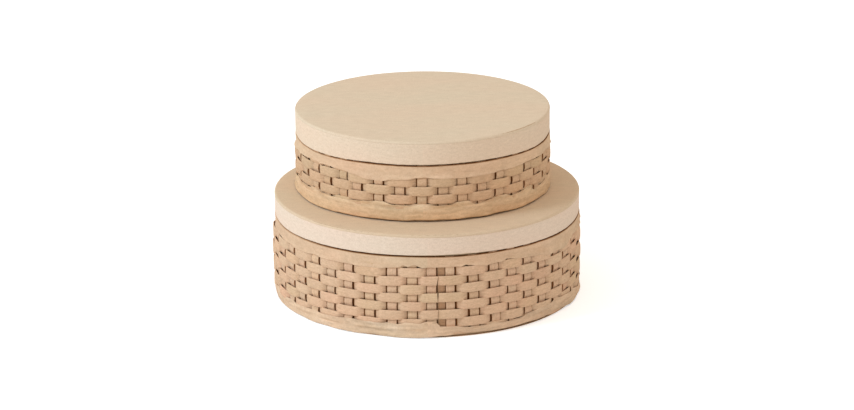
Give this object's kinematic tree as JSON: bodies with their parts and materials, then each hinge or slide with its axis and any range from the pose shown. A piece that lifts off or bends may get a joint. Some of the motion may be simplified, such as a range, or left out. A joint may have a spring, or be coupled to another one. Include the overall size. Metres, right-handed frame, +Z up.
{
  "type": "pair of round lidded boxes",
  "caption": "Stacked round kraft-card boxes with lift-off lids, sides woven from flat paper strips and smooth paper bands over the woven edges.",
  "frame": {"origin": "middle of the large box's base, on the surface it stands on", "axes": "+Z up through the stack; -Y is the front, where the large sleeve's seam is; +X is the right of that front"},
  "size_m": [0.3066, 0.3068, 0.1862],
  "materials": {
    "lid_paper": "matt",
    "band_paper": "matt",
    "weaver_strip": "matt",
    "stake_strip": "matt",
    "card": "matt"
  },
  "bodies": {
    "large_box": {"large_base_paper": "band_paper", "large_base_disc": "card", "large_liner_tube": "card", "large_stakes": "stake_strip", "large_weaver_1": "weaver_strip", "large_weaver_2": "weaver_strip", "large_weaver_3": "weaver_strip", "large_weaver_4": "weaver_strip", "large_weaver_5": "weaver_strip", "large_weaver_6": "weaver_strip", "large_weaver_7": "weaver_strip", "large_weaver_8": "weaver_strip", "large_weaver_9": "weaver_strip", "large_bottom_band": "band_paper", "large_top_band": "band_paper"},
    "large_lid": {"large_lid_hoop": "card", "large_lid_panel": "card", "large_lid_rim_paper": "lid_paper", "large_lid_top_paper": "lid_paper"},
    "small_box": {"small_base_paper": "band_paper", "small_base_disc": "card", "small_liner_tube": "card", "small_stakes": "stake_strip", "small_weaver_1": "weaver_strip", "small_weaver_2": "weaver_strip", "small_weaver_3": "weaver_strip", "small_weaver_4": "weaver_strip", "small_weaver_5": "weaver_strip", "small_bottom_band": "band_paper", "small_top_band": "band_paper"},
    "small_lid": {"small_lid_hoop": "card", "small_lid_panel": "card", "small_lid_rim_paper": "lid_paper", "small_lid_top_paper": "lid_paper"}
  },
  "joints": [
    {"name": "large_lid_lift", "type": "slide", "parent": "large_box", "child": "large_lid", "axis": [0, 0, 1], "range_m": [0, 0.12]},
    {"name": "small_box_lift", "type": "slide", "parent": "large_lid", "child": "small_box", "axis": [0, 0, 1], "range_m": [0, 0.1]},
    {"name": "small_lid_lift", "type": "slide", "parent": "small_box", "child": "small_lid", "axis": [0, 0, 1], "range_m": [0, 0.1]}
  ]
}
